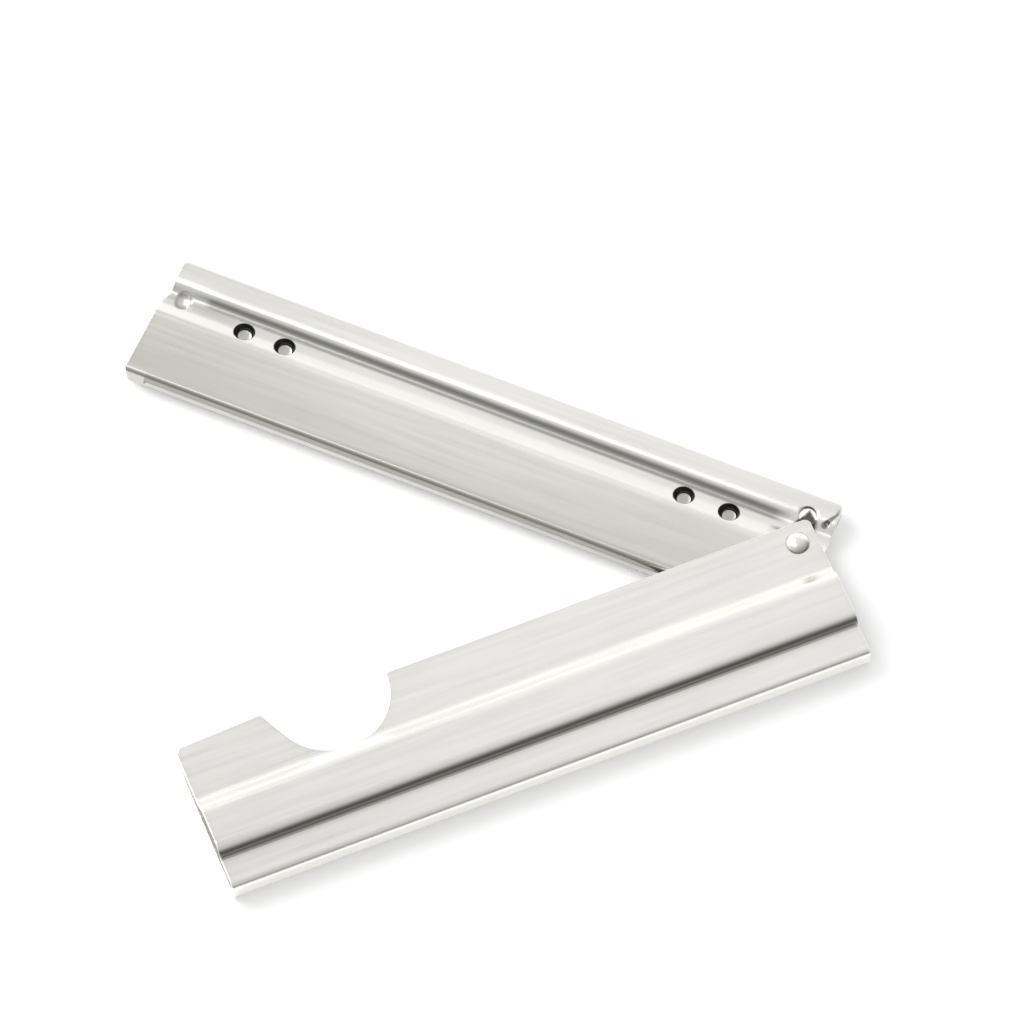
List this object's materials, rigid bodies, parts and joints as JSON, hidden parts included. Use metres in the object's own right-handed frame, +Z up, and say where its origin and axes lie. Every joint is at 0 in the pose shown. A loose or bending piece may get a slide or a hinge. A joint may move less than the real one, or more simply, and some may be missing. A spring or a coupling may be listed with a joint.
{
  "type": "folding glass scraper",
  "caption": "Folding glass scraper with a formed sheet-steel handle cover, a riveted swing arm and a straight steel blade held in its folded clamp.",
  "frame": {"origin": "middle of the flat underside of the handle cover", "axes": "X along the handle with the rivet near +X, +Y toward the handle's open edge, +Z up from the underside"},
  "size_m": [0.1161, 0.1077, 0.0066],
  "materials": {
    "handle_steel": "satin, brushed along the handle",
    "rivet_steel": "polished dome",
    "washer_steel": "plain rolled",
    "holder_steel": "satin, brushed along the arm",
    "blade_steel": "ground and polished"
  },
  "bodies": {
    "handle": {"handle_cover": "handle_steel", "pivot_rivet": "rivet_steel", "upper_washer": "washer_steel", "lower_washer": "washer_steel"},
    "blade_arm": {"blade_holder": "holder_steel", "scraper_blade": "blade_steel"}
  },
  "joints": [
    {"name": "fold_hinge", "type": "hinge", "parent": "handle", "child": "blade_arm", "pos_m": [0.0516, 0.0093, 0.0024], "axis": [0, 0, 1], "range_deg": [-135.4, 44.6]}
  ]
}
